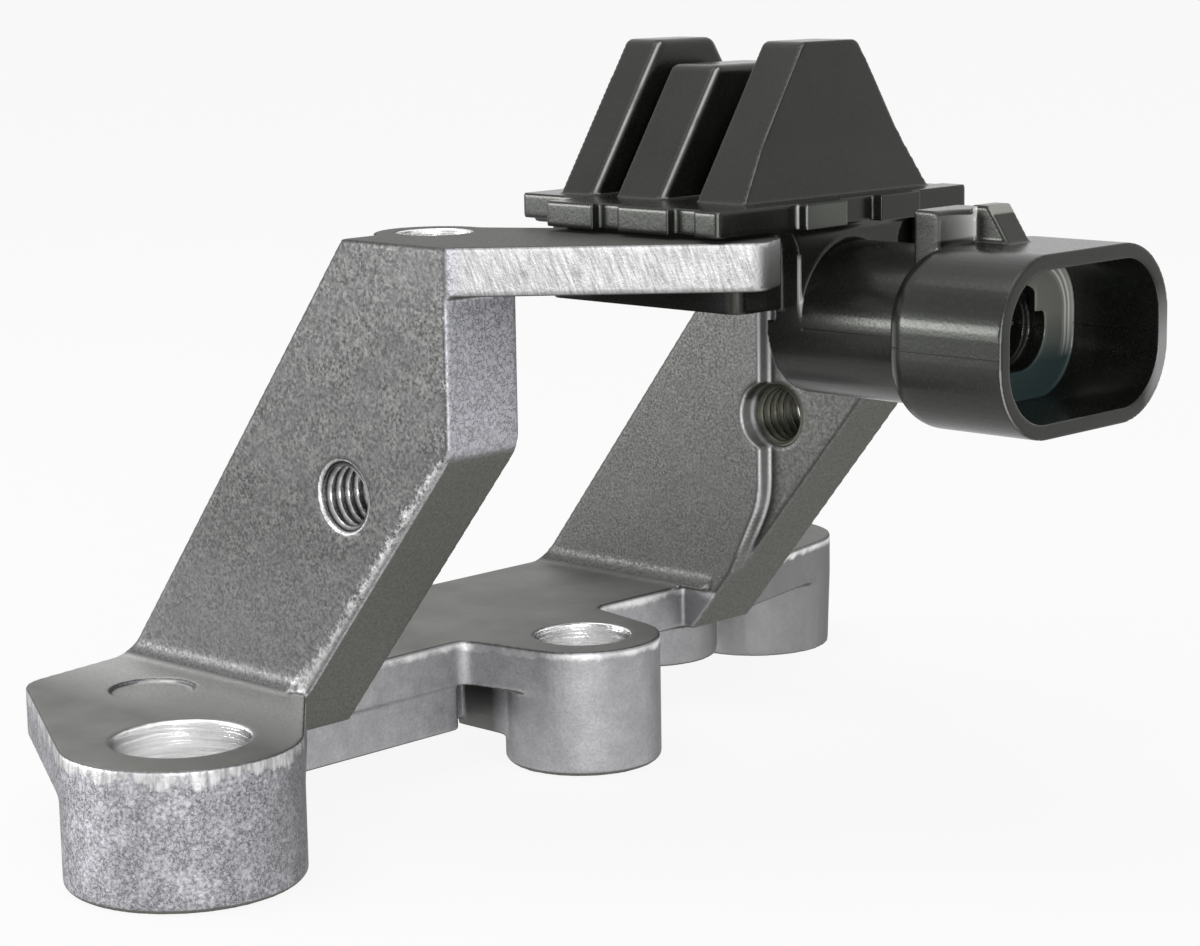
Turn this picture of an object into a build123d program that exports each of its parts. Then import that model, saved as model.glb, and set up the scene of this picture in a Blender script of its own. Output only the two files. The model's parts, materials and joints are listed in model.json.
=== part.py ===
from build123d import *
import os
from math import asin, atan2, cos, hypot, radians, sin, tan

# Crankshaft position sensor: a black sensor with three vanes and a sealed connector, held in the
# V-shaped top plate of a die-cast aluminium bracket.
# Millimetres. The origin is on the near bolt hole's axis, in the plane that the bosses stand on.
# +X is the way the connector points, +Y runs from the near arm to the far arm, +Z is up.

os.makedirs("parts", exist_ok=True)

# Base plate and its bosses
base_top = 11.8
base_thickness = 4.3
base_left = -27.0
base_right = -7.2
boss_edge = 0.4
near_boss_d = 20.0
near_bore_d = 11.6
mid_boss_at = (-0.4, 47.4)
far_boss_at = (-18.9, 93.2)
far_boss_d = 16.6
far_boss_draft = 1.8
mid_boss_d = 14.6
bolt_hole_d = 9.0
pad_boss_at = (-14.5, 71.4)
pad_boss_d = 14.2
lug_width = 17.6
lug_corner_r = 1.5
tongue_tip = (-25.2, 2.4)
tongue_tip_r = 4.0
tongue_rim = 1.5
tongue_depth = 6.5
tongue_taper = 26
skirt_depth = 4.1
skirt_thickness = 3.2
skirt_step = 2.6
skirt_proud = 0.3
skirt_end_gap = 0.8
web_depth = 4.9
pin_mark_d = 7.4
pin_mark_at = (-15.0, 8.7)
pin_mark_depth = 0.45

# Arms, both with one side profile
near_arm_y = 15.4
near_arm_thickness = 8.0
far_arm_y = 68.9
far_arm_thickness = 8.4
arm_top_left = 4.0
arm_top_right = 16.3
arm_knee_z = 34.6
arm_knee_r = 4.0
arm_foot_right = -2.4
foot_fillet = 1.6
side_hole_z = 29.9
near_hole_x = 3.3
far_hole_x = 4.0
thread_bore_d = 5.2
thread_mouth_d = 6.3
recess_left = 3.0
recess_bend_z = 21.5
recess_bend_r = 8.0
recess_foot_run = 1.2
recess_foot_rise = 1.2
recess_depth = 1.5
relief_d = 6.6

# Top plate, a V that opens away from the connector
plate_top = 51.5
plate_thickness = 4.0
plate_tip = (34.3, 33.4)
plate_tip_r = 1.6
plate_end = (32.5, 37.5)
inner_corner = (3.2, 27.6)
inner_end_x = 15.6
inner_end_gap = 0.9
seat_hole_from_arm = 8.85
seat_hole_x = 5.8
seat_hole_d = 6.3
seat_hole_depth = 6.0
seat_boss_d = 10.2
seat_boss_height = 9.0
window_left_reach = 9.0
slot_past = 2.0

# Sensor head
head_y = 47.9
head_base_width = 24.2
head_top_width = 7.0
outer_vane_height = 12.8
middle_vane_height = 10.8
rear_vane_x = 9.3
rear_vane_thickness = 4.0
middle_vane_x = 15.8
middle_vane_thickness = 5.3
front_vane_x = 24.8
front_vane_thickness = 4.4
front_vane_flare = 0.9
front_flare_height = 4.5
vane_wall = 0.8
vane_side_wall = 1.1
vane_corner_r = 1.1
vane_edge_r = 0.8

# Flange between the vanes and the top plate
flange_thickness = 2.1
flange_left = 5.8
flange_shoulder = 13.1
flange_right = 32.3
flange_near_reach = 17.8
flange_far_reach = 14.7
flange_tail = 4.5
seat_gap = 0.4
seat_inset = 0.8
notch_depth = 0.9
notch_width = 2.8
notch_x = (18.5, 26.9)
tooth_depth = 1.0
tooth_width = 5.3
tooth_from_middle = (-8.1, 1.6)

# Lower body, which passes down through the window in the top plate
body_left = 7.6
body_right = 29.3
body_drop = 6.5
body_wall = 1.5
body_corner_r = 1.2
window_gap = 0.3
roof = 1.1
cover_thickness = 1.2
cover_lip = 0.7
cover_gap = 0.1

# Connector
axis_drop = 7.7
neck_d = 13.2
neck_left = 27.6
shroud_left = 43.2
shroud_right = 55.1
shroud_width = 22.9
shroud_height = 14.5
shroud_r = 6.2
shroud_wall = 1.25
shroud_back_r = 2.6
mouth_depth = 8.5
pocket_width = 12.8
pocket_height = 7.0
pocket_depth = 1.7
slot_width = 11.4
slot_height = 5.8
slot_depth = 7.0
key_width = 1.6
key_thickness = 0.8
key_offset = 5.0
key_drop = 2.4
web_half = 6.6
web_right = 31.2
web_flare = 2.4
slot_half = 10.4
latch_left = 45.4
latch_length = 3.1
latch_top_length = 1.1
latch_width = 3.0
latch_height = 3.0
block_left = 41.5
block_right = 44.1
block_near_reach = 4.6
block_corner_r = 0.8
block_far_reach = 2.7
block_rise = 9.9
cove_depth = 1.4

# Terminals
terminal_pitch = 3.0
terminal_count = 4
terminal_width = 1.5
terminal_thickness = 0.8
riser_thickness = 0.7
riser_x = 29.9
terminal_tip = 44.2
terminal_reach = 6.4

# Inner pieces
board_thickness = 1.2
board_gap = 0.3
potting_height = 2.2
carrier_thickness = 0.7
carrier_width = 6.0
foot_gap = 0.1
cell_thickness = 0.9
cell_size = 3.6
concentrator_thickness = 0.4
concentrator_size = 4.0
magnet_size = 7.0
pole_thickness = 0.5
fit_gap = 0.05
part_length = 2.0
part_width = 1.3
part_from_edge = 1.8
capacitor_height = 1.2
resistor_height = 0.6

# Derived levels and places
flange_bottom = plate_top + seat_gap
vane_base = flange_bottom + flange_thickness
outer_vane_top = vane_base + outer_vane_height
middle_vane_top = vane_base + middle_vane_height
body_bottom = plate_top - body_drop
axis_z = plate_top - axis_drop
block_top = axis_z + block_rise
base_bottom = base_top - base_thickness
skirt_bottom = base_bottom - skirt_depth
plate_bottom = plate_top - plate_thickness
cover_bottom = body_bottom
cover_top = cover_bottom + cover_thickness
board_bottom = cover_top + potting_height
board_top = board_bottom + board_thickness
cavity_roof = vane_base - roof
slope = (arm_knee_z - base_top) / (arm_top_right - arm_foot_right)
body_near = head_y - head_base_width / 2
body_far = head_y + head_base_width / 2
flange_near = head_y - flange_near_reach
flange_far = head_y + flange_far_reach
block_far = head_y + block_far_reach
block_near = head_y - block_near_reach
board_half = head_base_width / 2 - body_wall - board_gap


def box(x0, x1, y0, y1, z0, z1):
    block = Box(x1 - x0, y1 - y0, z1 - z0)
    return Pos((x0 + x1) / 2, (y0 + y1) / 2, (z0 + z1) / 2) * block


def upright(x, y, d, z0, z1):
    return Pos(x, y, (z0 + z1) / 2) * Cylinder(d / 2, z1 - z0)


def rod_x(y, z, d, x0, x1):
    return Pos((x0 + x1) / 2, y, z) * Rot(0, 90, 0) * Cylinder(d / 2, x1 - x0)


def rod_y(x, z, d, y0, y1):
    return Pos(x, (y0 + y1) / 2, z) * Rot(90, 0, 0) * Cylinder(d / 2, y1 - y0)


def corner_points(corners, i):
    """Start, middle and end of the rounded corner i."""
    at = Vector(corners[i][0], corners[i][1])
    last = corners[i - 1]
    following = corners[(i + 1) % len(corners)]
    before = (Vector(last[0], last[1]) - at).normalized()
    after = (Vector(following[0], following[1]) - at).normalized()
    half = radians(before.get_angle(after) / 2)
    r = corners[i][2]
    run = r / tan(half)
    middle = at + (before + after).normalized() * (r / sin(half) - r)
    return at + before * run, middle, at + after * run


def outline(corners):
    """A closed flat outline. Each corner is x, y and its rounding radius."""
    edges = []
    points = [corner_points(corners, i) for i in range(len(corners))]
    for i, (start, middle, end) in enumerate(points):
        if corners[i][2] > 0:
            edges.append(ThreePointArc(start, middle, end))
        edges.append(Line(end, points[(i + 1) % len(points)][0]))
    return make_face(edges)


def slab(corners, z0, z1):
    return Pos(0, 0, z0) * extrude(outline(corners), amount=z1 - z0)


def across_x(corners, x0, x1):
    """A profile of y and z corners, carried along X."""
    return Pos(x0, 0, 0) * extrude(Plane.YZ * outline(corners), amount=x1 - x0)


def across_y(corners, y0, y1):
    """A profile of x and z corners, carried along Y."""
    return Pos(0, y1, 0) * extrude(Plane.XZ * outline(corners), amount=y1 - y0)


def tangent_point(start, centre, radius, side):
    """Where the line from start touches the circle, on its left (side 1) or right (side -1)."""
    dx = centre[0] - start[0]
    dy = centre[1] - start[1]
    reach = hypot(dx, dy)
    heading = atan2(dy, dx) + side * asin(radius / reach)
    run = (reach * reach - radius * radius) ** 0.5
    return (start[0] + run * cos(heading), start[1] + run * sin(heading))


# Base plate


def near_tongue():
    """Flat outline of the tongue that carries the near boss."""
    r = near_boss_d / 2
    foot = (arm_foot_right, near_arm_y)
    low = tangent_point(tongue_tip, (0, 0), r, -1)
    high = tangent_point(foot, (0, 0), r, 1)
    start = (base_left, near_arm_y)
    corners = [(*start, 0), (*tongue_tip, tongue_tip_r), (*low, 0), (*high, 0), (*foot, 0)]
    return outline(corners) + Circle(r)


def far_tongue():
    """Flat outline of the tongue that carries the far boss."""
    r = far_boss_d / 2
    end = far_arm_y + far_arm_thickness
    right = (base_right, end)
    left = (base_left, end)
    p = tangent_point(right, far_boss_at, r, -1)
    q = tangent_point(left, far_boss_at, r, 1)
    corners = [(*left, 0), (*right, 0), (*p, 0), (*q, 0)]
    return outline(corners) + Pos(*far_boss_at) * Circle(r)


def lug():
    """Flat outline of the lug that carries the middle boss."""
    r = mid_boss_d / 2
    low = (base_right, mid_boss_at[1] - lug_width / 2)
    high = (base_right, mid_boss_at[1] + lug_width / 2)
    p = tangent_point(low, mid_boss_at, r, -1)
    q = tangent_point(high, mid_boss_at, r, 1)
    inner = base_right - skirt_step
    corners = [(inner, low[1], 0), (*low, 0), (*p, 0), (*q, 0), (*high, 0), (inner, high[1], 0)]
    return outline(corners) + Pos(*mid_boss_at) * Circle(r)


def boss(at, d):
    post = upright(at[0], at[1], d, 0, base_top)
    foot = post.edges().group_by(Axis.Z)[0]
    return chamfer(foot, boss_edge)


def skirt_plan(inset, r):
    """Outline of the rim under the plate, which steps back beyond the first part of its right side."""
    y0 = near_arm_y + inset
    y1 = far_arm_y + far_arm_thickness - inset
    step = mid_boss_at[1] - lug_width / 2 - skirt_end_gap - inset
    left = base_left + 1.0 + inset
    right = base_right + skirt_proud - inset
    back = base_right - skirt_step - inset
    return [(left, y0, r), (right, y0, r), (right, step, r), (back, step, r), (back, y1, r), (left, y1, r)]


def skirt():
    rim = slab(skirt_plan(0, 0.6), skirt_bottom, base_bottom)
    return rim - slab(skirt_plan(skirt_thickness, 0.6), skirt_bottom - 1, base_bottom)


def skirt_webs():
    """Blocks from the rim to the bosses, and the low round pad under the far arm."""
    half = skirt_thickness / 2
    back = base_right - skirt_step - 1
    x, y = mid_boss_at
    side = mid_boss_d / 2 - 0.9
    web = box(back, x, y - side, y + side, base_bottom - web_depth, base_bottom)
    right = base_right + skirt_proud
    near = box(right - skirt_thickness, right, 0, near_arm_y + 1, skirt_bottom, base_bottom)
    end = far_arm_y + far_arm_thickness - 1
    x, y = far_boss_at
    far = box(x - half, x + half, end, y, skirt_bottom, base_bottom)
    return web + near + far + upright(*pad_boss_at, pad_boss_d, skirt_bottom, base_bottom)


def base():
    end = far_arm_y + far_arm_thickness
    middle = Pos((base_left + base_right) / 2, (near_arm_y + end) / 2)
    deck = middle * Rectangle(base_right - base_left, end - near_arm_y) + lug()
    roots = [v for v in deck.vertices() if abs(v.X - base_right) < 0.01 and near_arm_y + 1 < v.Y < end - 1]
    plan = fillet(roots, lug_corner_r) + near_tongue() + far_tongue()
    plate = Pos(0, 0, base_bottom) * extrude(plan, amount=base_thickness)
    gusset = extrude(near_tongue(), amount=-tongue_depth, taper=tongue_taper)
    gusset = Pos(0, 0, base_top - tongue_rim) * gusset
    solid = plate + gusset + skirt() + skirt_webs()
    solid += boss((0, 0), near_boss_d) + boss(mid_boss_at, mid_boss_d)
    post = extrude(Circle(far_boss_d / 2), amount=-base_bottom, taper=far_boss_draft)
    return solid + Pos(*far_boss_at, base_bottom) * post


# Arms


def arm(y, thickness):
    below = arm_foot_right - base_thickness / slope
    corners = [
        (base_left, base_bottom, 0),
        (below, base_bottom, 0),
        (arm_top_right, arm_knee_z, arm_knee_r),
        (arm_top_right, plate_top, 0),
        (arm_top_left, plate_top, 0.6),
        (base_left, base_top, 0),
    ]
    return across_y(corners, y, y + thickness)


def cove(y, side):
    """Rounded corner between the base plate and one face of an arm. Side is -1 or 1 along Y."""
    r = foot_fillet
    y0, y1 = sorted((y, y + side * r))
    block = box(base_left, arm_foot_right, y0, y1, base_top, base_top + r)
    bar = rod_x(y + side * r, base_top + r, 2 * r, base_left - 1, arm_foot_right + 1)
    lean = (plate_top - base_top) / (arm_top_left - base_left)
    keep = across_y([
        (base_left, base_top, 0),
        (arm_foot_right - r, base_top, 0),
        (arm_foot_right - r / 2, base_top + r, 0),
        (base_left + r / lean, base_top + r, 0),
    ], y0, y1)
    return (block - bar) & keep


def far_recess():
    """Shallow recess in the far arm's inner face, from its leaning edge to just past the threaded hole."""
    y = far_arm_y
    wide = arm_top_right + 1
    foot_x = arm_foot_right + recess_foot_run
    foot_z = base_top + recess_foot_rise
    corners = [
        (recess_left, plate_bottom, 0),
        (recess_left, recess_bend_z, recess_bend_r),
        (foot_x, foot_z, 0),
        (wide, foot_z, 0),
        (wide, plate_bottom, 0),
    ]
    relief = rod_y(far_hole_x, side_hole_z, relief_d, y - 1, y + recess_depth)
    return across_y(corners, y - 1, y + recess_depth) + relief


def threaded_hole(x, y0, y1):
    """Bore to the thread's crests, widened at both mouths."""
    z = side_hole_z
    step = (thread_mouth_d - thread_bore_d) / 2
    bore = rod_y(x, z, thread_bore_d, y0 - 1, y1 + 1)
    flare = Cone(thread_bore_d / 2, thread_mouth_d / 2, step)
    near = Pos(x, y0 + step / 2, z) * Rot(90, 0, 0) * flare
    far = Pos(x, y1 - step / 2, z) * Rot(-90, 0, 0) * flare
    return bore + near + far


# Top plate


def top_plate():
    """V-shaped plate in plan: two strips that run in from the arms to the sides of the window."""
    near = near_arm_y
    far = far_arm_y + far_arm_thickness
    tip_x, tip_y = plate_tip
    end_x, end_y = plate_end
    inner_near = body_near - inner_end_gap
    inner_far = body_far + inner_end_gap
    corners = [
        (arm_top_left, near, 0),
        (arm_top_right, near, 0.5),
        (tip_x, tip_y, plate_tip_r),
        (end_x, end_y, 0.8),
        (end_x, 2 * head_y - end_y, 0.8),
        (tip_x, 2 * head_y - tip_y, plate_tip_r),
        (arm_top_right, far, 0.5),
        (arm_top_left, far, 0),
        (inner_corner[0], far - (inner_corner[1] - near), 1.0),
        (inner_end_x, inner_far, 0),
        (inner_end_x, inner_near, 0),
        (inner_corner[0], inner_corner[1], 1.0),
    ]
    return slab(corners, plate_bottom, plate_top)


def window():
    """Opening for the sensor's lower body, with a slot for the connector's neck."""
    g = window_gap
    corners = [
        (body_left - window_left_reach, body_near - g, 0),
        (body_right + g, body_near - g, body_corner_r),
        (body_right + g, body_far + g, body_corner_r),
        (body_left - window_left_reach, body_far + g, 0),
    ]
    hole = slab(corners, plate_bottom - 1, plate_top + 1)
    near = head_y - slot_half
    far = head_y + slot_half
    slot = box(body_right - slot_past, plate_tip[0] + slot_past, near, far, plate_bottom - 1, plate_top + 1)
    return hole + slot


def seat_hole_places():
    near = near_arm_y + seat_hole_from_arm
    far = far_arm_y + far_arm_thickness - seat_hole_from_arm
    return [(seat_hole_x, near), (seat_hole_x, far)]


def bracket():
    near_end = near_arm_y + near_arm_thickness
    far_end = far_arm_y + far_arm_thickness
    body = base() + arm(near_arm_y, near_arm_thickness) + arm(far_arm_y, far_arm_thickness)
    body += cove(near_arm_y, -1) + cove(near_end, 1) + cove(far_arm_y, -1) + cove(far_end, 1)
    body += top_plate() - window()
    for x, y in seat_hole_places():
        body += upright(x, y, seat_boss_d, plate_top - seat_boss_height, plate_top)
    for x, y in seat_hole_places():
        body -= upright(x, y, seat_hole_d, plate_top - seat_hole_depth, plate_top + 1)
    body -= upright(0, 0, near_bore_d, -1, base_top + 1)
    for x, y in (mid_boss_at, far_boss_at):
        body -= upright(x, y, bolt_hole_d, -1, base_top + 1)
    body -= far_recess()
    body -= threaded_hole(near_hole_x, near_arm_y, near_end)
    body -= threaded_hole(far_hole_x, far_arm_y + recess_depth, far_end)
    body -= upright(*pin_mark_at, pin_mark_d, base_top - pin_mark_depth, base_top + 1)
    return body


# Sensor head


def vane_profile(width, peak, inset, top, floor):
    """Trapezoid across the vanes, as y and z corners, drawn in by inset on every side."""
    lean = (width - peak) / 2 / (outer_vane_top - vane_base)
    side = inset * hypot(1, lean)
    half_low = width / 2 - side - (floor - vane_base) * lean
    half_high = width / 2 - side - (top - inset - vane_base) * lean
    r = max(vane_corner_r - inset, 0.2)
    return [
        (head_y - half_low, floor, 0),
        (head_y + half_low, floor, 0),
        (head_y + half_high, top - inset, r),
        (head_y - half_high, top - inset, r),
    ]


def vane(x, thickness, top):
    corners = vane_profile(head_base_width, head_top_width, 0, top, vane_base)
    return across_x(corners, x, x + thickness)


def rounded_vane(x, thickness, top):
    """A vane whose edges towards the connector are rounded."""
    solid = vane(x, thickness, top)
    rim = solid.faces().sort_by(Axis.X)[-1].edges()
    return fillet([edge for edge in rim if edge.center().Z > vane_base + 0.1], vane_edge_r)


def front_vane():
    """The front vane, whose outer face flares out towards the flange."""
    x0 = front_vane_x
    x1 = x0 + front_vane_thickness
    foot = x1 + front_vane_flare
    low = vane_base
    high = outer_vane_top + 1
    bend = (x1 + 0.2, low + front_flare_height, 12.0)
    face = [(x0, low, 0), (foot, low, 0), bend, (x1, high, 0), (x0, high, 0)]
    solid = vane(x0, front_vane_thickness + front_vane_flare, outer_vane_top)
    return solid & across_y(face, body_near - 1, body_far + 1)


def vane_pocket(x, thickness, top):
    """Hollow in a vane, open to the cavity below."""
    corners = vane_profile(head_base_width, head_top_width, vane_side_wall, top, cavity_roof - 0.5)
    return across_x(corners, x + vane_wall, x + thickness - vane_wall)


def flange_plan():
    """Outline of the flange, narrower at its back end."""
    tail = flange_near + flange_tail
    return [
        (flange_left, tail, 0.4),
        (flange_shoulder, tail, 0),
        (flange_shoulder, flange_near, 0.3),
        (flange_right, flange_near, 0.4),
        (flange_right, flange_far, 0.4),
        (flange_left, flange_far, 0.4),
    ]


def flange():
    plate = slab(flange_plan(), flange_bottom, vane_base)
    near = (flange_near - 1, flange_near + notch_depth)
    far = (flange_far - notch_depth, flange_far + 1)
    for x in notch_x:
        for y0, y1 in (near, far):
            plate -= box(x, x + notch_width, y0, y1, flange_bottom - 1, vane_base + 1)
    tip = flange_right + tooth_depth
    for offset in tooth_from_middle:
        y0 = head_y + offset
        plate += box(flange_right - 0.5, tip, y0, y0 + tooth_width, flange_bottom, vane_base)
    d = seat_inset
    seat = [
        (flange_left + d, flange_near + flange_tail + d, 0),
        (flange_shoulder + d, flange_near + flange_tail + d, 0),
        (flange_shoulder + d, flange_near + 2 * d, 0),
        (flange_right - d, flange_near + 2 * d, 0),
        (flange_right - d, flange_far - 2 * d, 0),
        (flange_left + d, flange_far - 2 * d, 0),
    ]
    return plate + slab(seat, flange_bottom - seat_gap, flange_bottom)


def lower_body():
    corners = [
        (body_left, body_near, body_corner_r),
        (body_right, body_near, body_corner_r),
        (body_right, body_far, body_corner_r),
        (body_left, body_far, body_corner_r),
    ]
    return slab(corners, body_bottom, flange_bottom)


def cavity_plan(inset, r):
    return [
        (body_left + inset, body_near + inset, r),
        (body_right - inset, body_near + inset, r),
        (body_right - inset, body_far - inset, r),
        (body_left + inset, body_far - inset, r),
    ]


def cavity():
    """Room for the board, open below, with a ledge for the cover."""
    room = slab(cavity_plan(body_wall, 0.5), body_bottom, cavity_roof)
    return room + slab(cavity_plan(body_wall - cover_lip, 0.5), body_bottom - 1, cover_top)


# Connector


def oval(width, height, r, x0, x1):
    w = width / 2
    h = height / 2
    corners = [
        (head_y - w, axis_z - h, r),
        (head_y + w, axis_z - h, r),
        (head_y + w, axis_z + h, r),
        (head_y - w, axis_z + h, r),
    ]
    return across_x(corners, x0, x1)


def web():
    """Block that joins the neck to the flange, flared at its top."""
    y0 = head_y - web_half
    y1 = head_y + web_half
    f = web_flare
    top = flange_bottom
    block = box(body_right - body_wall, web_right, y0, y1, axis_z, top)
    flare = box(body_right, web_right, y0 - f, y1 + f, top - f, top)
    flare -= rod_x(y0 - f, top - f, 2 * f, body_right - 1, web_right + 1)
    flare -= rod_x(y1 + f, top - f, 2 * f, body_right - 1, web_right + 1)
    return block + flare


def latch_block():
    """Block on the neck behind the ramp, whose front is coved towards the ramp's near side."""
    top = block_top
    across = across_x([
        (block_near, axis_z, 0),
        (block_far, axis_z, 0),
        (block_far, top, 1.6),
        (block_near, top, 0),
    ], block_left, latch_left)
    ramp_near = head_y - latch_width / 2
    side = ramp_near - block_near
    cove_r = (side * side + cove_depth * cove_depth) / 2 / cove_depth
    hollow = upright(block_right + cove_r, block_near, 2 * cove_r, axis_z, top + 1)
    front = box(block_right, latch_left + 1, block_near - 1, block_near, axis_z, top + 1)
    block = across - hollow - front
    rim = block.faces().sort_by(Axis.Z)[-1].edges()
    return fillet([edge for edge in rim if edge.center().X > block_right - 0.1], block_corner_r)


def latch():
    """Ramp that the mating connector snaps over, standing against the block behind it."""
    z = axis_z + shroud_height / 2
    top = z + latch_height
    x0 = latch_left
    half = latch_width / 2
    ramp = across_y([
        (x0 - 0.5, z - 0.8, 0),
        (x0 + latch_length + 0.6, z - 0.8, 0),
        (x0 + latch_length, z, 0),
        (x0 + latch_top_length, top, 0.2),
        (x0 - 0.5, top, 0),
    ], head_y - half, head_y + half)
    return ramp + latch_block()


def shroud():
    shell = oval(shroud_width, shroud_height, shroud_r, shroud_left, shroud_right)
    back = shell.edges().group_by(Axis.X)[0]
    shell = fillet(back, shroud_back_r)
    return shell


def mouth():
    """Inside of the shroud: a wide mouth, a step, and a narrow slot for the blades."""
    w = shroud_width - 2 * shroud_wall
    h = shroud_height - 2 * shroud_wall
    floor = shroud_right - mouth_depth
    wide = oval(w, h, shroud_r - shroud_wall, floor, shroud_right + 1)
    step = oval(pocket_width, pocket_height, pocket_height / 2 - 0.1, floor - pocket_depth, floor)
    slot = oval(slot_width, slot_height, slot_height / 2 - 0.1, floor - slot_depth, floor)
    y0 = head_y + key_offset
    low = axis_z + pocket_height / 2 - key_drop
    key = box(floor - key_thickness, floor, y0, y0 + key_width, low, axis_z + pocket_height / 2 + 0.5)
    return wide + step + slot - key


def sensor_housing():
    solid = rounded_vane(rear_vane_x, rear_vane_thickness, outer_vane_top)
    solid += rounded_vane(middle_vane_x, middle_vane_thickness, middle_vane_top)
    solid += front_vane() + flange() + lower_body() + web()
    solid += rod_x(head_y, axis_z, neck_d, neck_left, shroud_left + shroud_back_r)
    solid += shroud() + latch()
    solid -= mouth()
    solid -= cavity()
    solid -= vane_pocket(rear_vane_x, rear_vane_thickness, outer_vane_top)
    solid -= vane_pocket(middle_vane_x, middle_vane_thickness, middle_vane_top)
    solid -= vane_pocket(front_vane_x, front_vane_thickness, outer_vane_top)
    for i in range(terminal_count):
        solid -= terminal(i)
    return solid


# Terminals, cover, board and what stands on it


def terminal(i):
    """Bent strip from the board down the web and out along the connector's axis."""
    y = head_y + (i - (terminal_count - 1) / 2) * terminal_pitch
    y0 = y - terminal_width / 2
    y1 = y + terminal_width / 2
    t = terminal_thickness
    blade_low = axis_z - t / 2
    top = board_top + t
    blade = box(riser_x, terminal_tip - 1, y0, y1, blade_low, blade_low + t)
    tip = across_y([
        (terminal_tip - 1, blade_low, 0),
        (terminal_tip, blade_low + t / 3, 0),
        (terminal_tip, blade_low + 2 * t / 3, 0),
        (terminal_tip - 1, blade_low + t, 0),
    ], y0, y1)
    riser = box(riser_x, riser_x + riser_thickness, y0, y1, blade_low, top)
    tail = box(riser_x - terminal_reach, riser_x + riser_thickness, y0, y1, board_top, top)
    return blade + tip + riser + tail


def bottom_cover():
    inset = body_wall - cover_lip + cover_gap
    return slab(cavity_plan(inset, 0.5), cover_bottom, cover_top)


def potting():
    return slab(cavity_plan(body_wall, 0.5), cover_top, board_bottom)


def circuit_board():
    return slab(cavity_plan(body_wall + board_gap, 0.5), board_bottom, board_top)


def stack_start(x, thickness, pieces):
    """Where a stack of thin pieces starts, so that it stands in the middle of its vane."""
    return x + (thickness - sum(pieces)) / 2


hall_stack = [concentrator_thickness, carrier_thickness, cell_thickness]
magnet_thickness = middle_vane_thickness - 2 * (vane_wall + pole_thickness + fit_gap)
cell_z = middle_vane_top - 1.6 - magnet_size / 2


def hall_carrier(x, thickness, order):
    """Strip up the middle of an outer vane, on a foot that passes between the terminals.

    Order 1 has the cell on its +X side, -1 on its -X side.
    """
    x0 = stack_start(x, thickness, hall_stack)
    x0 += concentrator_thickness if order == 1 else cell_thickness
    x1 = x0 + carrier_thickness
    top = cell_z + cell_size / 2 + 0.6
    shoulder = board_top + terminal_thickness + foot_gap
    half = carrier_width / 2
    foot = (terminal_pitch - terminal_width) / 2 - foot_gap
    strip = box(x0, x1, head_y - half, head_y + half, shoulder, top)
    return strip + box(x0, x1, head_y - foot, head_y + foot, board_top, shoulder)


def hall_cell(x, thickness, order):
    x0 = stack_start(x, thickness, hall_stack)
    if order == 1:
        x0 += concentrator_thickness + carrier_thickness
    half = cell_size / 2
    return box(x0, x0 + cell_thickness, head_y - half, head_y + half, cell_z - half, cell_z + half)


def concentrator(x, thickness, order):
    x0 = stack_start(x, thickness, hall_stack)
    if order == -1:
        x0 += cell_thickness + carrier_thickness
    half = concentrator_size / 2
    return box(x0, x0 + concentrator_thickness, head_y - half, head_y + half, cell_z - half, cell_z + half)


def magnet_left():
    return middle_vane_x + middle_vane_thickness / 2 - magnet_thickness / 2


def magnet():
    half = magnet_size / 2
    x0 = magnet_left()
    return box(x0, x0 + magnet_thickness, head_y - half, head_y + half, cell_z - half, cell_z + half)


def pole_plate(side):
    """Steel plate against the magnet, standing on the board. Side is -1 or 1 along X."""
    half = magnet_size / 2
    x0 = magnet_left() - pole_thickness if side < 0 else magnet_left() + magnet_thickness
    return box(x0, x0 + pole_thickness, head_y - half, head_y + half, board_top, cell_z + half)


def board_part(x, y, height):
    long = part_length / 2
    wide = part_width / 2
    part = box(x - long, x + long, y - wide, y + wide, board_top, board_top + height)
    return chamfer(part.edges().group_by(Axis.Z)[-1], 0.15)


rear = (rear_vane_x, rear_vane_thickness, 1)
front = (front_vane_x, front_vane_thickness, -1)
board_mid = (middle_vane_x + middle_vane_thickness + front_vane_x) / 2
resistor_x = (rear_vane_x + rear_vane_thickness + middle_vane_x) / 2
part_side = board_half - part_from_edge

pieces = {
    "bracket": bracket(),
    "sensor_housing": sensor_housing(),
    "bottom_cover": bottom_cover(),
    "potting": potting(),
    "circuit_board": circuit_board(),
    "hall_carrier_rear": hall_carrier(*rear),
    "hall_carrier_front": hall_carrier(*front),
    "hall_cell_rear": hall_cell(*rear),
    "hall_cell_front": hall_cell(*front),
    "concentrator_rear": concentrator(*rear),
    "concentrator_front": concentrator(*front),
    "magnet": magnet(),
    "pole_plate_rear": pole_plate(-1),
    "pole_plate_front": pole_plate(1),
    "capacitor_a": board_part(board_mid, head_y - part_side, capacitor_height),
    "capacitor_b": board_part(board_mid, head_y + part_side, capacitor_height),
    "resistor": board_part(resistor_x, head_y + part_side, resistor_height),
}
for i, letter in enumerate("abcd"):
    pieces["terminal_" + letter] = terminal(i)

for name, piece in pieces.items():
    solids = piece.solids()
    print(name, len(solids), round(piece.volume, 1))
    export_step(solids[0] if len(solids) == 1 else piece, "parts/" + name + ".step")
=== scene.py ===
# Looks of the crankshaft position sensor: a die-cast aluminium bracket and a black moulded sensor.
# Metres, in the frame of the solids: +X is the way the connector points, +Z is up.

import json
import math

import bmesh
import bpy
from mathutils import Matrix, Vector


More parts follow.
